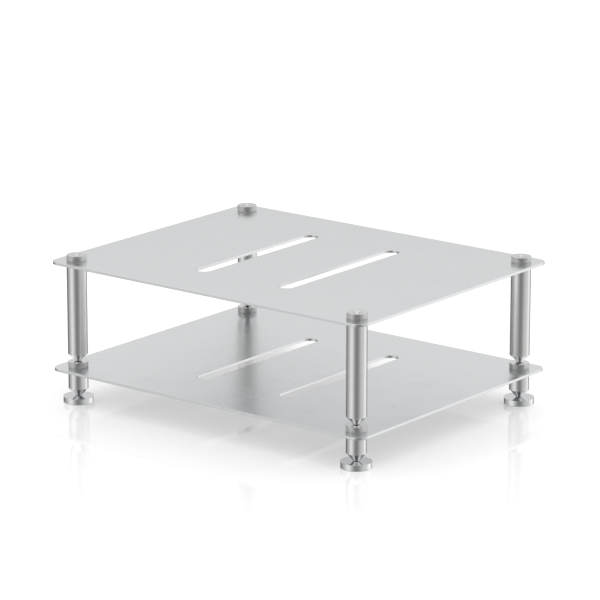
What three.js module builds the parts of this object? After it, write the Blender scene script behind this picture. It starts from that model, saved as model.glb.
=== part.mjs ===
// A two-tier audio equipment rack in aluminium, in millimetres, +Z up.
// Two slotted shelves are held at their corners by round posts. Each post and each
// short foot pillar ends in a spike. The lower spikes stand in loose foot discs, and
// the upper ones stand in the countersunk tops of the studs that hold the lower shelf.
// The origin is on the floor under the middle of the rack. The front is -Y.
import * as THREE from "three";

// Shelves
const shelfWidth = 582;
const shelfDepth = 462;
const shelfThickness = 4;
const shelfCornerRadius = 17.5;
const clearHeight = 160;
const underShelfHeight = 50;
const slotLength = 276;
const slotWidth = 24;
const slotSpacing = 154;
const studHoleDiameter = 9;

// Columns
const columnInset = 30;
const postDiameter = 30;
const postEndTaper = 4;

// Threads, drawn smooth at their outer diameter, and the play between a thread and its hole
const threadDiameter = 8;
const threadGap = 0.3;
const threadStart = 0.6;
const studGrip = 12;
const shankLength = 11;
const holeRunout = 1;
const studRim = 0.25;

// Knurled nuts
const nutDiameter = 30;
const nutHeight = 8.5;
const nutMouthChamfer = 0.7;
const knurlPitch = 3.14;
const knurlDepth = 0.35;

// Spikes, and the play between a spike's tip and its seat, measured square to the seat
const spikeTipRadius = 1;
const seatGap = 0.3;

// Foot discs
const discDiameter = 46;
const discHeight = 9;
const discEdgeChamfer = 1.5;

// Angles from the vertical, and the angle of a drilled hole's end from the horizontal
const spikeHalfAngle = THREE.MathUtils.degToRad(41.3);
const socketHalfAngle = THREE.MathUtils.degToRad(45);
const drillPointAngle = THREE.MathUtils.degToRad(31);

// How finely round shapes are divided
const columnSides = 28;
const discSides = 36;
const spikeSides = 20;
const threadSides = 16;
const tipSteps = 2;
const shelfArcSteps = 6;

// Radii
const postRadius = postDiameter / 2;
const nutRadius = nutDiameter / 2;
const threadRadius = threadDiameter / 2;
const tappedRadius = threadRadius + threadGap;

// The end of a post or pillar tapers in line with the cone of the spike below it.
const spikeBaseRadius = postRadius - postEndTaper;
const postTaperHeight = postEndTaper / Math.tan(spikeHalfAngle);

// The seat of a spike is a right-angled countersink. In a foot disc it is whole, and on a
// shelf the nut's mouth and the end of the stud share it, with one common lowest point.
const socketRadius = tappedRadius + nutMouthChamfer;
const socketDepth = socketRadius / Math.tan(socketHalfAngle);
const studSocketRadius = threadRadius - studRim;
const studSocketDepth = studSocketRadius / Math.tan(socketHalfAngle);
const studRecess = socketDepth - studSocketDepth;

// A spike's cone would meet its axis a little below its rounded tip.
const spikeTipLoss = spikeTipRadius / Math.sin(spikeHalfAngle) - spikeTipRadius;
const spikeConeHeight = spikeBaseRadius / Math.tan(spikeHalfAngle) - spikeTipLoss;
const tipCentreAboveSocket = (spikeTipRadius + seatGap) / Math.sin(socketHalfAngle);
const tipDepth = socketDepth - tipCentreAboveSocket + spikeTipRadius;
const standoff = spikeConeHeight - tipDepth;

// Heights above the floor
const footSpikeZ = discHeight - tipDepth;
const footPillarZ = discHeight + standoff;
const lowerShelfZ = underShelfHeight;
const footPillarLength = lowerShelfZ - footPillarZ;
const lowerShelfTopZ = lowerShelfZ + shelfThickness;
const upperShelfZ = lowerShelfTopZ + clearHeight;
const upperShelfTopZ = upperShelfZ + shelfThickness;
const postSpikeZ = lowerShelfTopZ + nutHeight - tipDepth;
const postZ = lowerShelfTopZ + nutHeight + standoff;
const postLength = upperShelfZ - postZ;

const studLength = studGrip + shelfThickness + nutHeight - studRecess;

const corners = [
  { name: "front_left", x: -1, y: -1 },
  { name: "front_right", x: 1, y: -1 },
  { name: "back_right", x: 1, y: 1 },
  { name: "back_left", x: -1, y: 1 },
];

const finishes = {
  shelf: { color: 0xd3d4d5, roughness: 0.42, metalness: 0.9 },
  post: { color: 0xc9c9c7, roughness: 0.28, metalness: 1 },
  nut: { color: 0xb9babb, roughness: 0.35, metalness: 1 },
  spike: { color: 0xb4b5b6, roughness: 0.18, metalness: 1 },
  stud: { color: 0xa3a4a5, roughness: 0.3, metalness: 1 },
  disc: { color: 0xbcbdbe, roughness: 0.16, metalness: 1 },
};

function piece(name, geometry, finish, z) {
  const mesh = new THREE.Mesh(geometry, new THREE.MeshStandardMaterial(finish));
  mesh.name = name;
  mesh.position.z = z;
  return mesh;
}

// Turns an outline of [radius, height] points about the vertical axis.
function turned(outline, sides) {
  const points = outline.map(([radius, height]) => new THREE.Vector2(radius, height));
  const geometry = new THREE.LatheGeometry(points, sides);
  geometry.rotateX(Math.PI / 2);
  return geometry;
}

function roundedPlate(width, depth, radius) {
  const x = width / 2 - radius;
  const y = depth / 2 - radius;
  const outline = new THREE.Shape();
  outline.absarc(x, y, radius, 0, Math.PI / 2, false);
  outline.absarc(-x, y, radius, Math.PI / 2, Math.PI, false);
  outline.absarc(-x, -y, radius, Math.PI, Math.PI * 1.5, false);
  outline.absarc(x, -y, radius, Math.PI * 1.5, Math.PI * 2, false);
  outline.closePath();
  return outline;
}

// A slot with half-round ends that runs from front to back.
function slotOutline(x) {
  const radius = slotWidth / 2;
  const y = slotLength / 2 - radius;
  const slot = new THREE.Path();
  slot.absarc(x, y, radius, 0, Math.PI, false);
  slot.absarc(x, -y, radius, Math.PI, Math.PI * 2, false);
  slot.closePath();
  return slot;
}

function studHoleOutline(corner) {
  const hole = new THREE.Path();
  hole.absarc(columnX(corner), columnY(corner), studHoleDiameter / 2, 0, Math.PI * 2, false);
  return hole;
}

function columnX(corner) {
  return corner.x * (shelfWidth / 2 - columnInset);
}

function columnY(corner) {
  return corner.y * (shelfDepth / 2 - columnInset);
}

function shelfGeometry() {
  const outline = roundedPlate(shelfWidth, shelfDepth, shelfCornerRadius);
  outline.holes.push(slotOutline(-slotSpacing / 2), slotOutline(slotSpacing / 2));
  for (const corner of corners) {
    outline.holes.push(studHoleOutline(corner));
  }
  return new THREE.ExtrudeGeometry(outline, {
    depth: shelfThickness,
    bevelEnabled: false,
    curveSegments: shelfArcSteps,
  });
}

// A post has a tapped blind hole in each end: the spike's below and the stud's above.
function postGeometry() {
  const spikeHoleEnd = shankLength + holeRunout;
  const studHoleEnd = postLength - studGrip - holeRunout;
  const drillPoint = tappedRadius * Math.tan(drillPointAngle);
  return turned([
    [0, spikeHoleEnd + drillPoint],
    [tappedRadius, spikeHoleEnd],
    [tappedRadius, 0],
    [spikeBaseRadius, 0],
    [postRadius, postTaperHeight],
    [postRadius, postLength],
    [tappedRadius, postLength],
    [tappedRadius, studHoleEnd],
    [0, studHoleEnd - drillPoint],
  ], columnSides);
}

// A foot pillar is tapped right through, for its spike from below and its stud from above.
function footPillarGeometry() {
  return turned([
    [tappedRadius, 0],
    [spikeBaseRadius, 0],
    [postRadius, postTaperHeight],
    [postRadius, footPillarLength],
    [tappedRadius, footPillarLength],
    [tappedRadius, 0],
  ], columnSides);
}

// A stud starts in the tapped hole and ends inside the nut, with a countersunk top.
function studGeometry() {
  return turned([
    [0, 0],
    [threadRadius - threadStart, 0],
    [threadRadius, threadStart],
    [threadRadius, studLength],
    [studSocketRadius, studLength],
    [0, studLength - studSocketDepth],
  ], threadSides);
}

// A spike has a rounded tip, a cone as wide as the end of its post and a threaded shank.
function spikeGeometry() {
  const outline = [];
  for (let step = 0; step <= tipSteps; step += 1) {
    const angle = (step / tipSteps) * (Math.PI / 2 - spikeHalfAngle);
    const radius = spikeTipRadius * Math.sin(angle);
    outline.push([radius, spikeTipRadius - spikeTipRadius * Math.cos(angle)]);
  }
  const shankTop = spikeConeHeight + shankLength;
  outline.push([spikeBaseRadius, spikeConeHeight]);
  outline.push([threadRadius, spikeConeHeight]);
  outline.push([threadRadius, shankTop - threadStart]);
  outline.push([threadRadius - threadStart, shankTop]);
  outline.push([0, shankTop]);
  return turned(outline, spikeSides);
}

function discGeometry() {
  const radius = discDiameter / 2;
  return turned([
    [0, 0],
    [radius - discEdgeChamfer, 0],
    [radius, discEdgeChamfer],
    [radius, discHeight - discEdgeChamfer],
    [radius - discEdgeChamfer, discHeight],
    [socketRadius, discHeight],
    [0, discHeight - socketDepth],
  ], discSides);
}

// A level ring of points. Its radius is a number, or a function of the point's number.
function ring(count, radius, height) {
  const points = [];
  for (let index = 0; index < count; index += 1) {
    const angle = (index / count) * Math.PI * 2;
    const reach = typeof radius === "function" ? radius(index) : radius;
    points.push(new THREE.Vector3(reach * Math.cos(angle), reach * Math.sin(angle), height));
  }
  return points;
}

// Joins two rings with triangles, stepping along whichever ring is behind.
function smoothBand(first, second) {
  const faces = [];
  let i = 0;
  let j = 0;
  while (i < first.length || j < second.length) {
    const a = first[i % first.length];
    const b = second[j % second.length];
    const stepFirst = (i + 1) / first.length <= (j + 1) / second.length;
    if (stepFirst) {
      i += 1;
      faces.push([a, first[i % first.length], b]);
    } else {
      j += 1;
      faces.push([a, second[j % second.length], b]);
    }
  }
  return faces;
}

// Joins two rows of knurl points. Each square is split from one groove crossing to the
// other, so that the grooves run round the nut in two crossing spirals.
function knurlBand(first, second, row) {
  const faces = [];
  first.forEach((a, index) => {
    const next = (index + 1) % first.length;
    const a1 = first[next];
    const b = second[index];
    const b1 = second[next];
    if (isPeak(index, row)) {
      faces.push([a, a1, b], [a1, b1, b]);
    } else {
      faces.push([a, a1, b1], [a, b1, b]);
    }
  });
  return faces;
}

function isPeak(index, row) {
  return (index + row) % 2 === 0;
}

// A round nut with a diamond knurl over its whole height: small pyramids between two
// crossing sets of grooves.
function nutGeometry() {
  const diamondsRound = Math.round((Math.PI * nutDiameter) / knurlPitch);
  const columns = diamondsRound * 2;
  const rows = Math.round((nutHeight / knurlPitch) * 2);
  const grooveRadius = nutRadius - knurlDepth;
  const knurl = [];
  for (let row = 0; row <= rows; row += 1) {
    const radius = (index) => (isPeak(index, row) ? nutRadius : grooveRadius);
    knurl.push(ring(columns, radius, (row / rows) * nutHeight));
  }
  const mouth = ring(threadSides, socketRadius, nutHeight);
  const boreTop = ring(threadSides, tappedRadius, nutHeight - nutMouthChamfer);
  const boreBottom = ring(threadSides, tappedRadius, 0);
  const faces = smoothBand(boreBottom, knurl[0]);
  for (let row = 0; row < rows; row += 1) {
    faces.push(...knurlBand(knurl[row], knurl[row + 1], row));
  }
  faces.push(...smoothBand(knurl[rows], mouth));
  faces.push(...smoothBand(mouth, boreTop));
  faces.push(...smoothBand(boreTop, boreBottom));
  return new THREE.BufferGeometry().setFromPoints(faces.flat());
}

const shelf = shelfGeometry();
const post = postGeometry();
const footPillar = footPillarGeometry();
const stud = studGeometry();
const spike = spikeGeometry();
const disc = discGeometry();
const nut = nutGeometry();

// What stands at one corner, from the floor up.
function column(corner) {
  const group = new THREE.Group();
  group.position.set(columnX(corner), columnY(corner), 0);
  group.add(
    piece(`foot_disc_${corner.name}`, disc, finishes.disc, 0),
    piece(`foot_spike_${corner.name}`, spike, finishes.spike, footSpikeZ),
    piece(`foot_pillar_${corner.name}`, footPillar, finishes.post, footPillarZ),
    piece(`lower_stud_${corner.name}`, stud, finishes.stud, lowerShelfZ - studGrip),
    piece(`lower_nut_${corner.name}`, nut, finishes.nut, lowerShelfTopZ),
    piece(`post_spike_${corner.name}`, spike, finishes.spike, postSpikeZ),
    piece(`post_${corner.name}`, post, finishes.post, postZ),
    piece(`upper_stud_${corner.name}`, stud, finishes.stud, upperShelfZ - studGrip),
    piece(`upper_nut_${corner.name}`, nut, finishes.nut, upperShelfTopZ),
  );
  return group;
}

const rack = new THREE.Group();
rack.add(piece("lower_shelf", shelf, finishes.shelf, lowerShelfZ));
rack.add(piece("upper_shelf", shelf, finishes.shelf, upperShelfZ));
for (const corner of corners) {
  rack.add(column(corner));
}

export default rack;
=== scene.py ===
"""A two-tier audio equipment rack: slotted aluminium shelves on turned posts, with knurled
nuts, spikes and loose foot discs. Sizes are in metres, on the frame of the CAD model."""

import math

import bmesh
import bpy
from mathutils import Matrix, Vector


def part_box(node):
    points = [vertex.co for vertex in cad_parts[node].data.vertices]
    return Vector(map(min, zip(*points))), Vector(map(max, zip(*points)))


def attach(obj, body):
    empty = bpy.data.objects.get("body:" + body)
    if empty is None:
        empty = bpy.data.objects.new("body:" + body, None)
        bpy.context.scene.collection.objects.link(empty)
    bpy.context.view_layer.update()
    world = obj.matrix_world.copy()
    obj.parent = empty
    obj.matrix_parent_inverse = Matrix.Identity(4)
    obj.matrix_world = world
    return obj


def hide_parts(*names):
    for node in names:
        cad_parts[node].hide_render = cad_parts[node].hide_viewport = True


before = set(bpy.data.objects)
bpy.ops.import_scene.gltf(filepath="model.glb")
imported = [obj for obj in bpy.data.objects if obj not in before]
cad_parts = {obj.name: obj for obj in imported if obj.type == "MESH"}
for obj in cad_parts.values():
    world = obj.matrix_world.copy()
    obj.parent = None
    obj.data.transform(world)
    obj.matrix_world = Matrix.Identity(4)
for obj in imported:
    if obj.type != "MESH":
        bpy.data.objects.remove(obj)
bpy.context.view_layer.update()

MM = 0.001

CORNERS = {
    "front_left": (-1, -1),
    "front_right": (1, -1),
    "back_right": (1, 1),
    "back_left": (-1, 1),
}

# Shelves
SHELF_CORNER_RADIUS = 17.5 * MM
SLOT_LENGTH = 276 * MM
SLOT_WIDTH = 24 * MM
SLOT_SPACING = 154 * MM
STUD_HOLE_RADIUS = 4.5 * MM
SHELF_EDGE_EASE = 0.35 * MM

# Posts and foot pillars
POST_END_TAPER = 4 * MM
TAPPED_RADIUS = 4.3 * MM
TAPPED_DEPTH = 12 * MM
STUD_HOLE_DEPTH = 13 * MM
DRILL_POINT = 2.58 * MM
POST_EDGE_EASE = 0.3 * MM
SEAM_EASE = 0.08 * MM

# Spikes and studs
SPIKE_HALF_ANGLE = math.radians(41.3)
SPIKE_TIP_RADIUS = 1 * MM
THREAD_RADIUS = 4 * MM
THREAD_PITCH = 1.25 * MM
THREAD_DEPTH = 0.61 * MM
THREAD_START = 0.6 * MM
THREAD_RUNOUT = 1.6 * MM
THREAD_FLANK = 2.4
THREAD_LAND = 0.5
STUD_SOCKET_RADIUS = 3.7 * MM
STUD_RIM = 0.1 * MM
STUD_RIM_TAPER = 2 * MM

# Nuts and foot discs
SEAT_RADIUS = 5 * MM
MOUTH_CHAMFER = 0.5 * MM
LEAD_IN_DEPTH = 3 * MM
THREAD_SHADE_DEPTH = 1.5 * MM
NUT_RADIUS = 15 * MM
NUT_TOP_EASE = 0.15 * MM
NUT_FOOT_CHAMFER = 0.3 * MM
KNURL_DEPTH = 0.4 * MM
KNURL_LAND = 0.3
DIAMONDS_ROUND = 30
DISC_TOP_EASE = 0.2 * MM
DISC_FOOT_CHAMFER = 0.6 * MM
DISC_SEAT_RADIUS = 4.6 * MM
DISC_SEAT_EASE = 0.05 * MM

# How finely shapes are divided
POST_SIDES = 96
DISC_SIDES = 128
THREAD_SIDES = 48
THREAD_STEPS = 10
KNURL_STEPS = 8
ARC_STEPS = 20
EASE_STEPS = 4
TIP_STEPS = 8

# Edges that turn by more than this, in degrees, are shaded sharp
SHARP_TURNED = 30
SHARP_THREAD = 25
SHARP_KNURL = 18
SHARP_PLATE = 40

# Points this close to each other are joined, and edges this short are dropped
DOUBLED_POINTS = 0.002 * MM
SHORTEST_EDGE = 0.001 * MM

# How far the normals of a tapered end and of a flat top rise, from -1 to 1
TAPER_SLOPES = (-0.9, -0.1)
FLAT_TOP_SLOPES = (0.9, 1.1)
FLAT_TOP_REACH = 0.1 * MM

# Camera, at the photograph's viewing angle
CAMERA_PLACE = Vector((3.09418, -3.94325, 1.50461))
CAMERA_AZIMUTH = math.radians(38.0986)
CAMERA_ELEVATION = math.radians(15.0395)
CAMERA_ROLL = math.radians(-0.0513)
CAMERA_LENS = 209.5
CAMERA_SENSOR = 36
CAMERA_REACH = 60


# ---------------------------------------------------------------- shapes


def eased(outline, ease, closed=False):
    """Rounds the corners of an outline of (radius, height) points. The ease is one reach for
    all corners, or a list with one for each."""
    reaches = ease if isinstance(ease, list) else [ease] * len(outline)
    points = []
    for index, corner in enumerate(outline):
        if not closed and index in (0, len(outline) - 1):
            points.append(Vector(corner))
            continue
        here = Vector(corner)
        back = Vector(outline[index - 1]) - here
        ahead = Vector(outline[(index + 1) % len(outline)]) - here
        turn = math.pi - back.angle(ahead)
        reach = reaches[index] * math.tan(turn / 2)
        reach = min(reach, back.length * 0.4, ahead.length * 0.4)
        start = here + back.normalized() * reach
        end = here + ahead.normalized() * reach
        for step in range(EASE_STEPS + 1):
            t = step / EASE_STEPS
            points.append(start * (1 - t) ** 2 + here * 2 * t * (1 - t) + end * t**2)
    return points


def level_ring(centre, radius, height, sides):
    """A ring of points about a corner's axis, or one point where the radius is nought."""
    if radius < SHORTEST_EDGE:
        return [(centre.x, centre.y, height)]
    ring = []
    for index in range(sides):
        angle = math.tau * index / sides
        ring.append(
            (centre.x + radius * math.cos(angle), centre.y + radius * math.sin(angle), height)
        )
    return ring


def turned_rings(centre, outline, sides):
    """The rings of a turned shape, from an outline of (radius, height) points."""
    return [level_ring(centre, radius, height, sides) for radius, height in outline]


def band(lower, upper, split=None):
    """The faces between two rings of point numbers. split(index) says which way a square is cut."""
    if len(lower) == 1 and len(upper) == 1:
        return []
    faces = []
    for index in range(max(len(lower), len(upper))):
        a = lower[index % len(lower)]
        b = lower[(index + 1) % len(lower)]
        c = upper[(index + 1) % len(upper)]
        d = upper[index % len(upper)]
        if len(lower) == 1:
            faces.append((a, c, d))
        elif len(upper) == 1:
            faces.append((a, b, c))
        elif split is None:
            faces.append((a, b, c, d))
        elif split(index):
            faces.extend([(a, b, c), (a, c, d)])
        else:
            faces.extend([(a, b, d), (b, c, d)])
    return faces


def body_from_rings(name, rings, closed=False, splits=None, sharp=SHARP_TURNED):
    """A closed body through rings of points, shaded smooth up to the sharp angle in degrees."""
    points = []
    numbers = []
    for ring in rings:
        numbers.append(list(range(len(points), len(points) + len(ring))))
        points.extend(ring)
    if closed:
        numbers.append(numbers[0])
    faces = []
    for row, (lower, upper) in enumerate(zip(numbers, numbers[1:])):
        faces.extend(band(lower, upper, (splits or {}).get(row)))
    mesh = bpy.data.meshes.new(name)
    mesh.from_pydata(points, [], faces)
    return finished_piece(name, mesh, sharp)


def finished_piece(name, mesh, sharp):
    """Joins doubled points, turns all faces outward and sets the shading."""
    shape = bmesh.new()
    shape.from_mesh(mesh)
    bmesh.ops.remove_doubles(shape, verts=shape.verts, dist=DOUBLED_POINTS)
    bmesh.ops.dissolve_degenerate(shape, edges=shape.edges, dist=SHORTEST_EDGE)
    bmesh.ops.recalc_face_normals(shape, faces=shape.faces)
    shape.to_mesh(mesh)
    shape.free()
    mesh.shade_smooth()
    mesh.set_sharp_from_angle(angle=math.radians(sharp))
    piece = bpy.data.objects.new(name, mesh)
    bpy.context.scene.collection.objects.link(piece)
    shading = piece.modifiers.new("Even shading", "WEIGHTED_NORMAL")
    shading.keep_sharp = True
    return piece


def column_axis(corner):
    """Where the axis of a corner's column meets the floor, from the place of its foot disc."""
    low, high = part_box(f"foot_disc_{corner}")
    return Vector(((low.x + high.x) / 2, (low.y + high.y) / 2, 0))


def dress(piece, node, body, material):
    """Puts a finished piece in the place of its CAD node."""
    piece.data.materials.append(material)
    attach(piece, body)
    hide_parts(node)


# ---------------------------------------------------------------- shelves


def arc(centre_x, centre_y, radius, start, turn, steps):
    """Points along an arc, with its two ends. Angles are in quarter turns."""
    points = []
    for step in range(steps + 1):
        angle = (start + turn * step / steps) * math.pi / 2
        points.append((centre_x + radius * math.cos(angle), centre_y + radius * math.sin(angle)))
    return points


def plate_outline(width, depth, inset):
    """The outline of a shelf with round corners, drawn in by the inset."""
    x = width / 2 - SHELF_CORNER_RADIUS
    y = depth / 2 - SHELF_CORNER_RADIUS
    radius = SHELF_CORNER_RADIUS - inset
    outline = []
    for quarter, (side_x, side_y) in enumerate([(x, y), (-x, y), (-x, -y), (x, -y)]):
        outline.extend(arc(side_x, side_y, radius, quarter, 1, ARC_STEPS))
    return outline


def slot_outline(x, inset):
    """A slot with half-round ends that runs from front to back, widened by the inset."""
    radius = SLOT_WIDTH / 2 + inset
    y = SLOT_LENGTH / 2 - SLOT_WIDTH / 2
    return arc(x, y, radius, 0, 2, ARC_STEPS * 2) + arc(x, -y, radius, 2, 2, ARC_STEPS * 2)


def hole_outline(x, y, inset):
    """A round hole for a stud, widened by the inset."""
    return arc(x, y, STUD_HOLE_RADIUS + inset, 0, 4, ARC_STEPS * 4)[:-1]


def make_shelf(node, body, material):
    """A plate with two slots and four stud holes, all its edges eased."""
    low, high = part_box(node)
    width = high.x - low.x
    depth = high.y - low.y
    axes = [column_axis(corner) for corner in CORNERS]

    def outlines(inset):
        rings = [plate_outline(width, depth, inset)]
        rings.extend(slot_outline(side * SLOT_SPACING / 2, inset) for side in (-1, 1))
        rings.extend(hole_outline(axis.x, axis.y, inset) for axis in axes)
        return rings

    # The edge rises from the underside, round the eased lower edge, to the top face.
    levels = []
    for step in range(EASE_STEPS + 1):
        angle = math.pi / 2 * step / EASE_STEPS
        inset = SHELF_EDGE_EASE * (1 - math.sin(angle))
        levels.append((inset, low.z + SHELF_EDGE_EASE * (1 - math.cos(angle))))
    levels.extend([(inset, high.z + low.z - z) for inset, z in reversed(levels)])

    shape = bmesh.new()
    rows = []
    for inset, z in levels:
        rows.append([[shape.verts.new((x, y, z)) for x, y in ring] for ring in outlines(inset)])
    for lower, upper in zip(rows, rows[1:]):
        for ring, above in zip(lower, upper):
            for index in range(len(ring)):
                after = (index + 1) % len(ring)
                shape.faces.new((ring[index], ring[after], above[after], above[index]))
    for flat in (rows[0], rows[-1]):
        edges = []
        for ring in flat:
            for index in range(len(ring)):
                after = ring[(index + 1) % len(ring)]
                edge = shape.edges.get((ring[index], after))
                edges.append(edge or shape.edges.new((ring[index], after)))
        bmesh.ops.triangle_fill(shape, use_beauty=True, edges=edges)
    mesh = bpy.data.meshes.new(f"slotted_{node}")
    shape.to_mesh(mesh)
    shape.free()
    piece = finished_piece(f"slotted_{node}", mesh, SHARP_PLATE)
    dress(piece, node, body, material)


# ---------------------------------------------------------------- posts and pillars


def tapered_end(radius, base):
    """The lower end of a post or pillar, which goes on in line with the spike's cone."""
    height = POST_END_TAPER / math.tan(SPIKE_HALF_ANGLE)
    return [(radius - POST_END_TAPER, base), (radius, base + height)]


def refinish(piece, finish, heights, slopes):
    """Gives another finish to the faces between two heights whose normals rise by so much."""
    piece.data.materials.append(finish)
    for face in piece.data.polygons:
        inside = heights[0] < face.center.z < heights[1]
        if inside and slopes[0] < face.normal.z < slopes[1]:
            face.material_index = 1


def polish_taper(piece, base, polish):
    """Gives the tapered end above the base the polish of the spike below it."""
    top = base + POST_END_TAPER / math.tan(SPIKE_HALF_ANGLE)
    refinish(piece, polish, (base, top), TAPER_SLOPES)


def make_post(corner, material, polish):
    """A round bar between the shelves, with a tapped hole in each end."""
    node = f"post_{corner}"
    low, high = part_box(node)
    radius = (high.x - low.x) / 2
    body = eased(
        [
            (TAPPED_RADIUS, low.z + TAPPED_DEPTH),
            (TAPPED_RADIUS, low.z),
            *tapered_end(radius, low.z),
            (radius, high.z),
            (TAPPED_RADIUS, high.z),
            (TAPPED_RADIUS, high.z - STUD_HOLE_DEPTH),
        ],
        [0, SEAM_EASE, SEAM_EASE, POST_EDGE_EASE, POST_EDGE_EASE, SEAM_EASE, 0],
    )
    outline = [(0, low.z + TAPPED_DEPTH + DRILL_POINT), *body]
    outline.append((0, high.z - STUD_HOLE_DEPTH - DRILL_POINT))
    rings = turned_rings(column_axis(corner), outline, POST_SIDES)
    piece = body_from_rings(f"turned_{node}", rings)
    dress(piece, node, "upper_tier", material)
    polish_taper(piece, low.z, polish)


def make_foot_pillar(corner, material, polish):
    """A short round bar under the lower shelf, tapped through."""
    node = f"foot_pillar_{corner}"
    low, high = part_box(node)
    radius = (high.x - low.x) / 2
    outline = eased(
        [
            (TAPPED_RADIUS, low.z),
            *tapered_end(radius, low.z),
            (radius, high.z),
            (TAPPED_RADIUS, high.z),
        ],
        [SEAM_EASE, SEAM_EASE, POST_EDGE_EASE, POST_EDGE_EASE, SEAM_EASE],
        closed=True,
    )
    rings = turned_rings(column_axis(corner), outline, POST_SIDES)
    piece = body_from_rings(f"turned_{node}", rings, closed=True)
    dress(piece, node, "lower_tier", material)
    polish_taper(piece, low.z, polish)


# ---------------------------------------------------------------- threads, studs and spikes


def from_groove(along):
    """0 in the middle of a groove and 1 half way to the next."""
    return 1 - abs(2 * (along % 1) - 1)


def thread_rings(centre, bottom, top, start_at_top):
    """A right-hand screw thread between two heights. One end has a chamfered start, and at
    the other the groove runs out to the full radius."""
    start, runout = (top, bottom) if start_at_top else (bottom, top)
    rows = math.ceil((top - bottom) / THREAD_PITCH * THREAD_STEPS)
    rings = []
    for row in range(rows + 1):
        z = bottom + (top - bottom) * row / rows
        deepest = THREAD_DEPTH * min(abs(z - runout) / THREAD_RUNOUT, 1)
        ring = []
        for index in range(THREAD_SIDES):
            turns = (z - bottom) / THREAD_PITCH - index / THREAD_SIDES
            groove = min(max(THREAD_FLANK * from_groove(turns) - THREAD_LAND, 0), 1)
            reach = THREAD_RADIUS - deepest * groove
            reach = min(reach, THREAD_RADIUS - THREAD_START + abs(z - start))
            angle = math.tau * index / THREAD_SIDES
            ring.append((centre.x + reach * math.cos(angle), centre.y + reach * math.sin(angle), z))
        rings.append(ring)
    return rings


def make_threaded(name, centre, bottom, top, start_at_top, below, above):
    """A threaded rod whose ends go on as turned outlines, below it and above it."""
    rings = turned_rings(centre, below, THREAD_SIDES)
    rings.extend(thread_rings(centre, bottom, top, start_at_top))
    rings.extend(turned_rings(centre, above, THREAD_SIDES))
    return body_from_rings(name, rings, sharp=SHARP_THREAD)


def make_stud(node, corner, body, material):
    """A threaded rod whose upper end carries on the seat of its nut."""
    low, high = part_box(node)
    below = [(0, low.z)]
    above = [
        (STUD_SOCKET_RADIUS + STUD_RIM, high.z),
        (STUD_SOCKET_RADIUS, high.z),
        (0, high.z - STUD_SOCKET_RADIUS),
    ]
    centre = column_axis(corner)
    top = high.z - STUD_RIM_TAPER
    piece = make_threaded(f"threaded_{node}", centre, low.z, top, False, below, above)
    dress(piece, node, body, material)


def make_spike(node, corner, body, material):
    """A cone with a rounded tip and a threaded shank above it."""
    low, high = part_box(node)
    base_radius = (high.x - low.x) / 2
    tip_loss = SPIKE_TIP_RADIUS / math.sin(SPIKE_HALF_ANGLE) - SPIKE_TIP_RADIUS
    shoulder = low.z + base_radius / math.tan(SPIKE_HALF_ANGLE) - tip_loss
    cone = []
    for step in range(TIP_STEPS + 1):
        angle = step / TIP_STEPS * (math.pi / 2 - SPIKE_HALF_ANGLE)
        height = SPIKE_TIP_RADIUS * (1 - math.cos(angle))
        cone.append((SPIKE_TIP_RADIUS * math.sin(angle), low.z + height))
    flank_end = eased(
        [cone[-1], (base_radius, shoulder), (THREAD_RADIUS, shoulder)],
        SEAM_EASE,
    )
    below = cone[:-1] + flank_end
    above = [(0, high.z)]
    piece = make_threaded(
        f"turned_{node}", column_axis(corner), shoulder, high.z, True, below, above
    )
    dress(piece, node, body, material)


# ---------------------------------------------------------------- nuts


def knurl_height(index, row):
    """How far a place stands out of the two crossing sets of grooves, from 0 to 1. The index
    counts steps round the nut and the row counts steps up it."""
    u = index / KNURL_STEPS
    v = row / KNURL_STEPS
    return min(from_groove(u + v), from_groove(u - v), KNURL_LAND) / KNURL_LAND


def along_groove(row):
    """How the squares of a row are cut, so that the cuts run along the grooves."""

    def split(index):
        u = (index + 0.5) / KNURL_STEPS
        v = (row + 0.5) / KNURL_STEPS
        return from_groove(u - v) < from_groove(u + v)

    return split


def knurl_rings(centre, bottom, top, radius):
    """The knurled side of a nut, with an eased upper rim and a chamfered foot."""
    sides = DIAMONDS_ROUND * KNURL_STEPS
    rows = round((top - bottom) / (math.tau * radius / sides))
    rings = []
    for row in range(rows + 1):
        z = bottom + (top - bottom) * row / rows
        rim = radius - max(z - top + NUT_TOP_EASE, 0)
        foot = radius - max(bottom + NUT_FOOT_CHAMFER - z, 0)
        ring = []
        for index in range(sides):
            reach = radius - KNURL_DEPTH * (1 - knurl_height(index, row))
            reach = min(reach, rim, foot)
            angle = math.tau * index / sides
            ring.append((centre.x + reach * math.cos(angle), centre.y + reach * math.sin(angle), z))
        rings.append(ring)
    return rings


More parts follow.
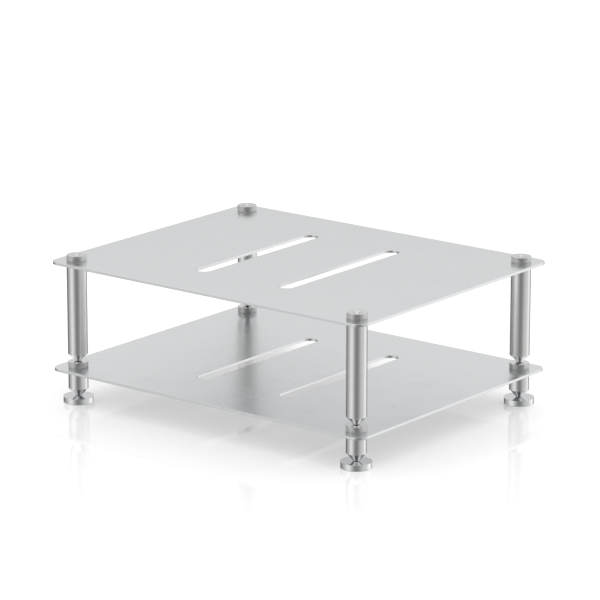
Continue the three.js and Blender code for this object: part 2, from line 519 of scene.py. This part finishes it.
def make_nut(node, corner, body, material, thread_shade_material):
    """A knurled round nut with a lead-in at its mouth, and painted shade on the thread below it."""
    low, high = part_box(node)
    centre = column_axis(corner)
    radius = max(high.x - low.x, high.y - low.y) / 2
    rings = knurl_rings(centre, low.z, high.z, radius)
    splits = {row: along_groove(row) for row in range(len(rings) - 1)}
    lead_in = SEAT_RADIUS - MOUTH_CHAMFER
    inner = eased(
        [
            (radius - KNURL_DEPTH - NUT_TOP_EASE, high.z),
            (SEAT_RADIUS, high.z),
            (lead_in, high.z - MOUTH_CHAMFER),
            (lead_in, high.z - THREAD_SHADE_DEPTH),
            (lead_in, high.z - LEAD_IN_DEPTH),
            (TAPPED_RADIUS, high.z - LEAD_IN_DEPTH),
            (TAPPED_RADIUS, low.z),
            (radius - KNURL_DEPTH - NUT_FOOT_CHAMFER, low.z),
        ],
        SEAM_EASE,
    )
    rings.extend(turned_rings(centre, inner, len(rings[0])))
    name = f"knurled_{node}"
    piece = body_from_rings(name, rings, closed=True, splits=splits, sharp=SHARP_KNURL)
    dress(piece, node, body, material)
    # Faces deep in the hole take the near-black finish: painted shade.
    piece.data.materials.append(thread_shade_material)
    for face in piece.data.polygons:
        aside = math.hypot(face.center.x - centre.x, face.center.y - centre.y)
        if aside < SEAT_RADIUS and face.center.z < high.z - THREAD_SHADE_DEPTH:
            face.material_index = 1


# ---------------------------------------------------------------- foot discs


def make_foot_disc(corner, material, top_shade_material):
    """A loose disc with a seat for the spike, and a flat top in a darker copy of its steel as
    painted shade.
    """
    node = f"foot_disc_{corner}"
    low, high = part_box(node)
    radius = (high.x - low.x) / 2
    body = eased(
        [
            (0, low.z),
            (radius - DISC_FOOT_CHAMFER, low.z),
            (radius, low.z + DISC_FOOT_CHAMFER),
            (radius, high.z),
            (DISC_SEAT_RADIUS, high.z),
            (0, high.z - DISC_SEAT_RADIUS / math.tan(SPIKE_HALF_ANGLE)),
        ],
        [0, DISC_TOP_EASE, DISC_TOP_EASE, DISC_TOP_EASE, DISC_SEAT_EASE, 0],
    )
    rings = turned_rings(column_axis(corner), body, DISC_SIDES)
    piece = body_from_rings(f"polished_{node}", rings)
    dress(piece, node, node, material)
    # The flat top takes the darker copy of the steel: painted shade.
    top = (high.z - FLAT_TOP_REACH, high.z + FLAT_TOP_REACH)
    refinish(piece, top_shade_material, top, FLAT_TOP_SLOPES)


# ---------------------------------------------------------------- node groups

# Distance of the columns from the middle of the rack
COLUMN_X = 261 * MM
COLUMN_Y = 201 * MM

# Between which strengths of a noise a smudge and a speck of dust come up
SMUDGE_NOISE = (0.48, 0.72)
SPECK_NOISE = (0.62, 0.8)


def node(tree, kind, inputs=None, **settings):
    """Adds a node. An input's value is a number, a colour or another node's output."""
    made = tree.nodes.new(kind)
    for key, value in settings.items():
        setattr(made, key, value)
    for key, value in (inputs or {}).items():
        if isinstance(value, bpy.types.NodeSocket):
            tree.links.new(value, made.inputs[key])
        else:
            made.inputs[key].default_value = value
    return made


def math_node(tree, operation, first, second=0.0, clamp=False):
    """The result of a calculation on one or two values."""
    made = node(tree, "ShaderNodeMath", {0: first, 1: second}, operation=operation)
    made.use_clamp = clamp
    return made.outputs[0]


def mask(tree, value, limits, smooth=False):
    """A mask that goes from 0 to 1 while a value goes from one limit to the other."""
    made = node(
        tree,
        "ShaderNodeMapRange",
        {"Value": value, "From Min": limits[0], "From Max": limits[1]},
        interpolation_type="SMOOTHSTEP" if smooth else "LINEAR",
    )
    return made.outputs["Result"]


def new_group(name, inputs, outputs):
    """An empty node group with float sockets, its inputs with their usual values."""
    tree = bpy.data.node_groups.new(name, "ShaderNodeTree")
    for socket, value in inputs.items():
        made = tree.interface.new_socket(socket, in_out="INPUT", socket_type="NodeSocketFloat")
        made.default_value = value
    for socket in outputs:
        tree.interface.new_socket(socket, in_out="OUTPUT", socket_type="NodeSocketFloat")
    return tree, tree.nodes.new("NodeGroupInput").outputs, tree.nodes.new("NodeGroupOutput").inputs


def scaled_place(tree, place, size):
    """The place on the piece, counted in units of the size."""
    inverse = math_node(tree, "DIVIDE", 1.0, size)
    scaled = node(tree, "ShaderNodeVectorMath", {0: place}, operation="SCALE")
    tree.links.new(inverse, scaled.inputs["Scale"])
    return scaled.outputs[0]


def noise(tree, place, detail=2.0, roughness=0.5):
    """A cloudy noise from 0 to 1, about one unit of the place in size."""
    made = node(
        tree,
        "ShaderNodeTexNoise",
        {"Vector": place, "Scale": 1.0, "Detail": detail, "Roughness": roughness},
    )
    return made.outputs["Fac"]


def build_turning_marks():
    """The fine rings that a lathe tool leaves about a column's axis, on sides and on faces."""
    tree, given, out = new_group(
        "Turning marks",
        {"Column X": COLUMN_X, "Column Y": COLUMN_Y, "Feed": 0.3 * MM, "Drift": 12 * MM},
        ["Rings", "Bands", "Radius"],
    )
    place = node(tree, "ShaderNodeTexCoord").outputs["Object"]
    split = node(tree, "ShaderNodeSeparateXYZ", {0: place}).outputs
    aside = math_node(tree, "SUBTRACT", math_node(tree, "ABSOLUTE", split["X"]), given["Column X"])
    ahead = math_node(tree, "SUBTRACT", math_node(tree, "ABSOLUTE", split["Y"]), given["Column Y"])
    squares = math_node(
        tree, "ADD", math_node(tree, "POWER", aside, 2.0), math_node(tree, "POWER", ahead, 2.0)
    )
    radius = math_node(tree, "SQRT", squares)
    section = node(tree, "ShaderNodeCombineXYZ", {"X": radius, "Z": split["Z"]}).outputs[0]
    fine = noise(tree, scaled_place(tree, section, given["Feed"]), detail=3.0, roughness=0.6)
    slow = noise(tree, scaled_place(tree, section, given["Drift"]), detail=1.0)
    tree.links.new(fine, out["Rings"])
    tree.links.new(slow, out["Bands"])
    tree.links.new(radius, out["Radius"])
    return tree


def build_blasted_grain():
    """The even grain of a blasted and anodised surface, and its faint slow mottle."""
    tree, given, out = new_group(
        "Blasted grain", {"Grain Size": 0.3 * MM, "Mottle Size": 20 * MM}, ["Grain", "Mottle"]
    )
    place = node(tree, "ShaderNodeTexCoord").outputs["Object"]
    grain = noise(tree, scaled_place(tree, place, given["Grain Size"]), detail=3.0, roughness=0.65)
    mottle = noise(tree, scaled_place(tree, place, given["Mottle Size"]), detail=3.0)
    tree.links.new(grain, out["Grain"])
    tree.links.new(mottle, out["Mottle"])
    return tree


def build_handling_marks():
    """Soft smudges where the part is held, as a mask from 0 to 1."""
    tree, given, out = new_group("Handling marks", {"Smudge Size": 30 * MM}, ["Smudge"])
    place = node(tree, "ShaderNodeTexCoord").outputs["Object"]
    cloud = noise(tree, scaled_place(tree, place, given["Smudge Size"]), detail=4.0, roughness=0.6)
    tree.links.new(mask(tree, cloud, SMUDGE_NOISE, smooth=True), out["Smudge"])
    return tree


def build_edges_and_grooves():
    """Where an edge is rubbed bright, partly wear and partly a painted highlight, and where a
    groove holds dirt, as masks from 0 to 1.
    """
    tree, given, out = new_group("Edges and grooves", {"Reach": 0.06}, ["Edge", "Groove"])
    bend = node(tree, "ShaderNodeNewGeometry").outputs["Pointiness"]
    over = math_node(tree, "SUBTRACT", bend, 0.5)
    under = math_node(tree, "SUBTRACT", 0.5, bend)
    edge = math_node(tree, "DIVIDE", over, given["Reach"], clamp=True)
    groove = math_node(tree, "DIVIDE", under, given["Reach"], clamp=True)
    tree.links.new(edge, out["Edge"])
    tree.links.new(groove, out["Groove"])
    return tree


def build_settled_dust():
    """Thin dust on faces that look up, as a mask from 0 to 1."""
    tree, given, out = new_group("Settled dust", {"Speck Size": 0.6 * MM}, ["Dust"])
    surface = node(tree, "ShaderNodeNewGeometry").outputs["Normal"]
    up = node(tree, "ShaderNodeSeparateXYZ", {0: surface}).outputs["Z"]
    place = node(tree, "ShaderNodeTexCoord").outputs["Object"]
    specks = noise(tree, scaled_place(tree, place, given["Speck Size"]), detail=4.0, roughness=0.7)
    settled = math_node(tree, "MULTIPLY", up, mask(tree, specks, SPECK_NOISE), clamp=True)
    tree.links.new(settled, out["Dust"])
    return tree


GROUPS = {
    "marks": build_turning_marks(),
    "grain": build_blasted_grain(),
    "handling": build_handling_marks(),
    "edge": build_edges_and_grooves(),
    "dust": build_settled_dust(),
}


def effect(tree, name, inputs=None):
    """Places one of the node groups in a material with its own values."""
    made = node(tree, "ShaderNodeGroup", node_tree=GROUPS[name])
    for key, value in (inputs or {}).items():
        made.inputs[key].default_value = value
    return made.outputs


# ---------------------------------------------------------------- materials

# How bright a metal is at a slant, from 0 to 1
PLATE_AT_SLANT = 0.78
POST_AT_SLANT = 0.5
NUT_AT_SLANT = 0.62

# How far below the nut's radius the painted shade in the knurl's grooves begins and is full,
# and how far a face of the knurl may look up
GROOVE_SHADE_BEGINS = 0.1 * MM
GROOVE_SHADE_FULL = 0.32 * MM
KNURL_SLOPE = 0.8

# The studio's floor
ACRYLIC_IOR = 1.5
FLOOR_GLOW = 0.285


def blend_colours(tree, amount, first, second):
    """The first colour where the amount is 0 and the second where it is 1."""
    made = node(tree, "ShaderNodeMix", data_type="RGBA")
    tree.links.new(amount, made.inputs[0])
    for index, colour in ((6, first), (7, second)):
        if isinstance(colour, bpy.types.NodeSocket):
            tree.links.new(colour, made.inputs[index])
        else:
            made.inputs[index].default_value = (*colour, 1)
    return made.outputs[2]


def spread(tree, value, low, high):
    """Turns a value from 0 to 1 into one from low to high."""
    made = node(tree, "ShaderNodeMapRange", {"Value": value, "To Min": low, "To Max": high})
    return made.outputs["Result"]


def metal(name):
    """A material with a metal surface, its node tree and its shader."""
    material = bpy.data.materials.new(name)
    material.use_nodes = True
    tree = material.node_tree
    shader = tree.nodes["Principled BSDF"]
    shader.inputs["Metallic"].default_value = 1.0
    return material, tree, shader


def set_roughness(tree, shader, *parts):
    """Sets the roughness to the sum of two values that are spread from low to high."""
    rough = math_node(tree, "ADD", *[spread(tree, *part) for part in parts])
    tree.links.new(rough, shader.inputs["Roughness"])


def set_slant(shader, brightness):
    """Sets how bright a metal is seen at a slant."""
    shader.inputs["Specular Tint"].default_value = (brightness, brightness, brightness, 1)


def relief(tree, shader, heights):
    """Bumps a surface by heights, each a value from 0 to 1 with its real depth in metres."""
    normal = None
    for height, depth in heights:
        inputs = {"Strength": 1.0, "Distance": depth, "Height": height}
        if normal:
            inputs["Normal"] = normal
        normal = node(tree, "ShaderNodeBump", inputs).outputs["Normal"]
    tree.links.new(normal, shader.inputs["Normal"])


def satin_plate():
    """Blasted and anodised aluminium sheet."""
    material, tree, shader = metal("satin anodised plate")
    grain = effect(tree, "grain", {"Grain Size": 0.35 * MM, "Mottle Size": 45 * MM})
    smudge = effect(tree, "handling", {"Smudge Size": 60 * MM})["Smudge"]
    edge = effect(tree, "edge", {"Reach": 0.08})["Edge"]
    dust = effect(tree, "dust", {"Speck Size": 0.8 * MM})["Dust"]
    tone = blend_colours(tree, grain["Mottle"], (0.83, 0.84, 0.85), (0.87, 0.88, 0.89))
    tone = blend_colours(tree, spread(tree, grain["Grain"], 0.0, 0.35), tone, (0.73, 0.74, 0.75))
    tone = blend_colours(tree, spread(tree, dust, 0.0, 0.12), tone, (0.9, 0.9, 0.88))
    # Lighter edges: partly wear, partly a painted highlight.
    tone = blend_colours(tree, spread(tree, edge, 0.0, 0.2), tone, (0.93, 0.93, 0.93))
    tree.links.new(tone, shader.inputs["Base Color"])
    set_roughness(tree, shader, (grain["Grain"], 0.21, 0.29), (smudge, 0.0, 0.03))
    set_slant(shader, PLATE_AT_SLANT)
    relief(tree, shader, [(grain["Grain"], 0.006 * MM)])
    return material


def turned_aluminium():
    """Round bar turned on a lathe and anodised."""
    material, tree, shader = metal("turned satin aluminium")
    marks = effect(tree, "marks", {"Feed": 0.22 * MM, "Drift": 9 * MM})
    smudge = effect(tree, "handling", {"Smudge Size": 25 * MM})["Smudge"]
    edge = effect(tree, "edge", {"Reach": 0.08})["Edge"]
    tone = blend_colours(tree, marks["Bands"], (0.84, 0.84, 0.83), (0.89, 0.89, 0.88))
    tone = blend_colours(tree, spread(tree, marks["Rings"], 0.0, 0.4), tone, (0.78, 0.78, 0.78))
    # Lighter edges: partly wear, partly a painted highlight.
    tone = blend_colours(tree, spread(tree, edge, 0.0, 0.6), tone, (0.95, 0.95, 0.95))
    tree.links.new(tone, shader.inputs["Base Color"])
    set_roughness(tree, shader, (marks["Rings"], 0.14, 0.22), (smudge, 0.0, 0.04))
    set_slant(shader, POST_AT_SLANT)
    relief(tree, shader, [(marks["Rings"], 0.002 * MM)])
    return material


def knurl_groove_shade(tree, radius):
    """How deep a place lies in the knurl's grooves, from 0 to 1, and 0 on a nut's flat faces.
    It masks the painted shade in the grooves.
    """
    depth = mask(tree, radius, (NUT_RADIUS - GROOVE_SHADE_BEGINS, NUT_RADIUS - GROOVE_SHADE_FULL))
    surface = node(tree, "ShaderNodeNewGeometry").outputs["True Normal"]
    up = node(tree, "ShaderNodeSeparateXYZ", {0: surface}).outputs["Z"]
    steep = math_node(tree, "LESS_THAN", math_node(tree, "ABSOLUTE", up), KNURL_SLOPE)
    outside = math_node(tree, "GREATER_THAN", radius, NUT_RADIUS - 2 * KNURL_DEPTH)
    return math_node(tree, "MULTIPLY", math_node(tree, "MULTIPLY", depth, steep), outside)


def knurled_aluminium():
    """The same bar with a pressed diamond knurl, whose grooves are painted near black as shade."""
    material, tree, shader = metal("knurled aluminium")
    marks = effect(tree, "marks", {"Feed": 0.18 * MM, "Drift": 4 * MM})
    grain = effect(tree, "grain", {"Grain Size": 0.12 * MM, "Mottle Size": 5 * MM})
    edge = effect(tree, "edge", {"Reach": 0.1})["Edge"]
    tone = blend_colours(tree, grain["Mottle"], (0.88, 0.88, 0.88), (0.92, 0.92, 0.92))
    # Lighter edges: partly wear, partly a painted highlight.
    tone = blend_colours(tree, spread(tree, edge, 0.0, 0.4), tone, (0.96, 0.96, 0.96))
    # Near black in the knurl's grooves: painted shade.
    tone = blend_colours(tree, knurl_groove_shade(tree, marks["Radius"]), tone, (0.02, 0.02, 0.02))
    tree.links.new(tone, shader.inputs["Base Color"])
    set_roughness(tree, shader, (marks["Rings"], 0.14, 0.22), (grain["Grain"], 0.0, 0.04))
    set_slant(shader, NUT_AT_SLANT)
    relief(tree, shader, [(grain["Grain"], 0.003 * MM), (marks["Rings"], 0.002 * MM)])
    return material


def painted_thread_shade():
    """A near-black metal that paints the shade deep in a tapped hole."""
    material, tree, shader = metal("painted thread shade")
    grain = effect(tree, "grain", {"Grain Size": 0.2 * MM, "Mottle Size": 2 * MM})
    tone = blend_colours(tree, grain["Mottle"], (0.03, 0.03, 0.03), (0.06, 0.06, 0.055))
    tree.links.new(tone, shader.inputs["Base Color"])
    tree.links.new(spread(tree, grain["Grain"], 0.35, 0.5), shader.inputs["Roughness"])
    return material


def polished_steel(name, shade, slant, feed, rough):
    """Steel turned fine and polished. The shade is its brightness seen straight on, and the
    slant its brightness seen at a slant, both from 0 to 1. The feed is the step of the tool,
    and rough gives the least and the most roughness."""
    material, tree, shader = metal(name)
    marks = effect(tree, "marks", {"Feed": feed, "Drift": 6 * MM})
    smudge = effect(tree, "handling", {"Smudge Size": 12 * MM})["Smudge"]
    edge = effect(tree, "edge", {"Reach": 0.1})["Edge"]
    light = (shade, shade * 1.01, shade * 1.02)
    tone = blend_colours(tree, marks["Bands"], [part * 0.94 for part in light], light)
    worn = [part * 0.85 for part in light]
    tone = blend_colours(tree, spread(tree, marks["Rings"], 0.0, 0.35), tone, worn)
    # Lighter edges: partly wear, partly a painted highlight.
    tone = blend_colours(tree, spread(tree, edge, 0.0, 0.5), tone, (0.94, 0.95, 0.96))
    tree.links.new(tone, shader.inputs["Base Color"])
    set_roughness(tree, shader, (marks["Rings"], *rough), (smudge, 0.0, 0.05))
    set_slant(shader, slant)
    relief(tree, shader, [(marks["Rings"], 0.0012 * MM)])
    return material


def studio_floor_white():
    """A white acrylic sheet, lit a little from below."""
    material = bpy.data.materials.new("white studio sheet")
    material.use_nodes = True
    tree = material.node_tree
    shader = tree.nodes["Principled BSDF"]
    grain = effect(tree, "grain", {"Grain Size": 0.5 * MM, "Mottle Size": 150 * MM})
    tone = blend_colours(tree, grain["Mottle"], (0.89, 0.89, 0.89), (0.91, 0.91, 0.91))
    tree.links.new(tone, shader.inputs["Base Color"])
    tree.links.new(spread(tree, grain["Grain"], 0.03, 0.06), shader.inputs["Roughness"])
    shader.inputs["IOR"].default_value = ACRYLIC_IOR
    shader.inputs["Emission Color"].default_value = (1, 1, 1, 1)
    shader.inputs["Emission Strength"].default_value = FLOOR_GLOW
    return material


# ---------------------------------------------------------------- the rack

plate_finish = satin_plate()
post_finish = turned_aluminium()
nut_finish = knurled_aluminium()
# A near-black finish for the nuts' holes: painted shade.
thread_shade_finish = painted_thread_shade()
spike_finish = polished_steel(
    "polished spike steel", shade=0.97, slant=0.9, feed=0.12 * MM, rough=(0.06, 0.11)
)
stud_finish = polished_steel(
    "stud steel", shade=0.90, slant=1.0, feed=0.2 * MM, rough=(0.18, 0.26)
)
disc_finish = polished_steel(
    "polished disc steel", shade=0.92, slant=1.0, feed=0.15 * MM, rough=(0.12, 0.18)
)
# A darker copy of the disc steel for the discs' flat tops: painted shade.
disc_top_shade_finish = polished_steel(
    "disc steel with painted shade on top", shade=0.78, slant=0.74, feed=0.15 * MM, rough=(0.09, 0.15)
)

make_shelf("lower_shelf", "lower_tier", plate_finish)
make_shelf("upper_shelf", "upper_tier", plate_finish)
for corner in CORNERS:
    make_foot_disc(corner, disc_finish, disc_top_shade_finish)
    make_foot_pillar(corner, post_finish, spike_finish)
    make_post(corner, post_finish, spike_finish)
    make_spike(f"foot_spike_{corner}", corner, f"foot_spike_{corner}", spike_finish)
    make_spike(f"post_spike_{corner}", corner, "post_spikes", spike_finish)
    make_stud(f"lower_stud_{corner}", corner, "lower_tier", stud_finish)
    make_stud(f"upper_stud_{corner}", corner, "upper_tier", stud_finish)
    make_nut(f"lower_nut_{corner}", corner, f"lower_nut_{corner}", nut_finish, thread_shade_finish)
    make_nut(f"upper_nut_{corner}", corner, f"upper_nut_{corner}", nut_finish, thread_shade_finish)


# ---------------------------------------------------------------- studio

FLOOR_RADIUS = 9.0
FLOOR_SIDES = 96

# Brightness of the studio round the rack, by the turn from the camera's side in degrees,
# as a soft light on the left and a broader one on the right behind the rack.
STUDIO_RING = [
    (-180, 0.38),
    (-160, 0.38),
    (-150, 0.14),
    (-140, 0.14),
    (-124, 0.30),
    (-115, 0.38),
    (-97, 0.47),
    (-82, 0.64),
    (-68, 0.82),
    (-56, 0.85),
    (-44, 0.74),
    (-33, 0.53),
    (-22, 0.36),
    (-11, 0.24),
    (0, 0.22),
    (11, 0.26),
    (22, 0.33),
    (33, 0.45),
    (44, 0.57),
    (56, 0.62),
    (68, 0.65),
    (82, 0.73),
    (97, 0.98),
    (115, 1.08),
    (135, 0.60),
    (150, 0.30),
    (165, 0.38),
]

# The same a little above the rack's level, where the wall behind the rack is bright.
STUDIO_HIGH = [
    (-180, 0.93),
    (-160, 0.93),
    (-140, 0.45),
    (-120, 0.40),
    (-97, 0.55),
    (-82, 0.75),
    (-60, 0.97),
    (-44, 0.82),
    (-30, 0.52),
    (-11, 0.28),
    (0, 0.25),
    (11, 0.28),
    (30, 0.42),
    (50, 0.60),
    (70, 0.75),
    (90, 0.95),
    (105, 1.05),
    (120, 1.00),
    (140, 0.80),
    (160, 0.93),
]

# Between which heights of a direction, from -1 straight down to 1 straight up, the higher
# ring, the ceiling and the ground fade in
HIGH_RING_HEIGHT = (0.08, 0.20)
CEILING_HEIGHT = (0.42, 0.65)
GROUND_HEIGHT = (-0.4, -0.65)

# The bright floor far behind the rack and the dim camera's side fade in between these
# cosines of the turn from the camera's side, and between these heights
FAR_FLOOR_TURN = (-0.90, -0.96)
FAR_FLOOR_HEIGHT = (-0.12, -0.17)
DIM_TURN = (0.6, 0.85)
DIM_HEIGHT = (0.12, 0.06)

CEILING_LIGHT = 1.05
GROUND_LIGHT = 0.3
FAR_FLOOR_LIGHT = 1.1
DIM_LIGHT = 0.08


def make_floor():
    """A white floor that metal does not mirror, because the studio's ring has its light."""
    shape = bmesh.new()
    bmesh.ops.create_circle(shape, cap_ends=True, radius=FLOOR_RADIUS, segments=FLOOR_SIDES)
    mesh = bpy.data.meshes.new("studio_floor")
    shape.to_mesh(mesh)
    shape.free()
    floor = bpy.data.objects.new("studio_floor", mesh)
    bpy.context.scene.collection.objects.link(floor)
    mesh.materials.append(studio_floor_white())
    floor.visible_glossy = False


def ring_of_light(tree, share, stops):
    """A colour by the share of a whole turn, through stops of (degrees, brightness)."""
    ring = node(tree, "ShaderNodeValToRGB", {"Fac": share})
    ramp = ring.color_ramp
    ramp.interpolation = "LINEAR"
    ramp.elements.remove(ramp.elements[-1])
    for index, (degrees, value) in enumerate([*stops, (180, stops[0][1])]):
        position = (degrees + 180) / 360
        stop = ramp.elements.new(position) if index else ramp.elements[0]
        stop.position = position
        stop.color = (value, value, value, 1)
    return ring.outputs["Color"]


def make_world():
    """Rings of soft light round the rack, a bright ceiling over it and a white backdrop that
    only the camera sees."""
    world = bpy.data.worlds.new("soft studio")
    bpy.context.scene.world = world
    world.use_nodes = True
    tree = world.node_tree
    tree.nodes.clear()
    place = node(tree, "ShaderNodeTexCoord").outputs["Generated"]
    split = node(tree, "ShaderNodeSeparateXYZ", {0: place}).outputs
    facing = math_node(tree, "MULTIPLY", split["Y"], -1.0)
    turn = math_node(tree, "ARCTAN2", split["X"], facing)
    turn = math_node(tree, "SUBTRACT", turn, CAMERA_AZIMUTH)
    share = math_node(tree, "ADD", math_node(tree, "DIVIDE", turn, math.tau), 0.5)
    share = math_node(tree, "FRACT", share)
    low = ring_of_light(tree, share, STUDIO_RING)
    high = ring_of_light(tree, share, STUDIO_HIGH)
    height = split["Z"]
    above = mask(tree, height, HIGH_RING_HEIGHT, smooth=True)
    overhead = mask(tree, height, CEILING_HEIGHT, smooth=True)
    below = mask(tree, height, GROUND_HEIGHT, smooth=True)
    # The floor is seen again far behind the rack, below a dark strip at eye level.
    towards = math_node(tree, "COSINE", turn)
    away = mask(tree, towards, FAR_FLOOR_TURN)
    behind = math_node(tree, "MULTIPLY", away, mask(tree, height, FAR_FLOOR_HEIGHT))
    level = mask(tree, math_node(tree, "ABSOLUTE", height), DIM_HEIGHT)
    dim = math_node(tree, "MULTIPLY", mask(tree, towards, DIM_TURN), level)
    lit = blend_colours(tree, above, low, high)
    for part, light in (
        (dim, DIM_LIGHT),
        (behind, FAR_FLOOR_LIGHT),
        (overhead, CEILING_LIGHT),
        (below, GROUND_LIGHT),
    ):
        lit = blend_colours(tree, part, lit, (light, light, light))
    studio = node(tree, "ShaderNodeBackground", {"Color": lit, "Strength": 1.0})
    backdrop = node(tree, "ShaderNodeBackground", {"Color": (1, 1, 1, 1), "Strength": 1.0})
    seen = node(tree, "ShaderNodeLightPath").outputs["Is Camera Ray"]
    mixed = node(tree, "ShaderNodeMixShader", {0: seen})
    tree.links.new(studio.outputs[0], mixed.inputs[1])
    tree.links.new(backdrop.outputs[0], mixed.inputs[2])
    out = node(tree, "ShaderNodeOutputWorld")
    tree.links.new(mixed.outputs[0], out.inputs["Surface"])


def make_camera():
    """The camera, with the slight roll that the fit to the photograph gave."""
    data = bpy.data.cameras.new("camera")
    data.lens = CAMERA_LENS
    data.sensor_width = CAMERA_SENSOR
    data.clip_end = CAMERA_REACH
    camera = bpy.data.objects.new("camera", data)
    bpy.context.scene.collection.objects.link(camera)
    level = math.cos(CAMERA_ELEVATION)
    ahead = Vector(
        (
            -math.sin(CAMERA_AZIMUTH) * level,
            math.cos(CAMERA_AZIMUTH) * level,
            -math.sin(CAMERA_ELEVATION),
        )
    )
    level_right = Vector((math.cos(CAMERA_AZIMUTH), math.sin(CAMERA_AZIMUTH), 0))
    down = ahead.cross(level_right)
    right = level_right * math.cos(CAMERA_ROLL) + down * math.sin(CAMERA_ROLL)
    turn = Matrix((right, right.cross(ahead), -ahead)).transposed().to_4x4()
    camera.matrix_world = Matrix.Translation(CAMERA_PLACE) @ turn
    bpy.context.scene.camera = camera


make_floor()
make_world()
make_camera()
bpy.context.scene.view_settings.view_transform = "Standard"
